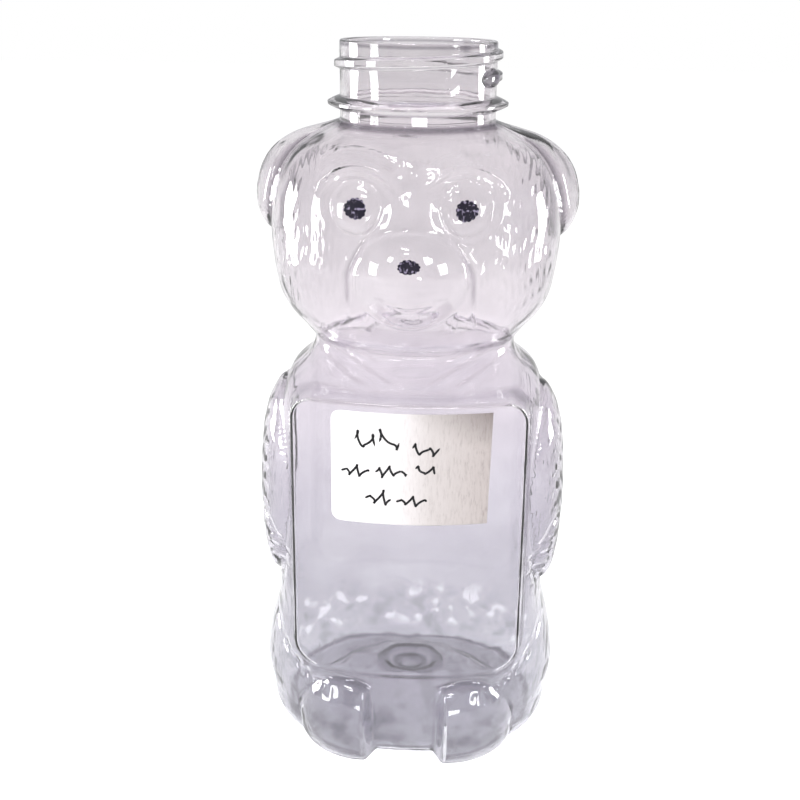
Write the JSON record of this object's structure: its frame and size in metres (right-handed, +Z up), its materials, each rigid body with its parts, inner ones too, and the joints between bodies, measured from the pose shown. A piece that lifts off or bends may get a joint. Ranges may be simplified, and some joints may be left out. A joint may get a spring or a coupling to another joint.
{
  "type": "honey bear bottle",
  "caption": "Clear squeeze-type bottle shaped as a sitting bear, uncapped, with a threaded neck finish, flat label panels, a paper label and a printed face.",
  "frame": {"origin": "on the table plane, under the middle of the whole bottle's width and depth; the neck's axis stands 2.7 mm behind it, at y = +0.0027", "axes": "+Z up and parallel to the neck's axis, -Y towards the bear's face and the labelled panel, +X towards the bear's left side"},
  "size_m": [0.0748, 0.0656, 0.165],
  "materials": {
    "clear_pet": "clear gloss",
    "label_paper": "matte, fibrous",
    "face_ink": "printed ink"
  },
  "bodies": {
    "root": {"neck_finish": "clear_pet", "bear_shell": "clear_pet", "paper_label": "label_paper", "left_eye": "face_ink", "right_eye": "face_ink", "nose": "face_ink"}
  },
  "joints": []
}
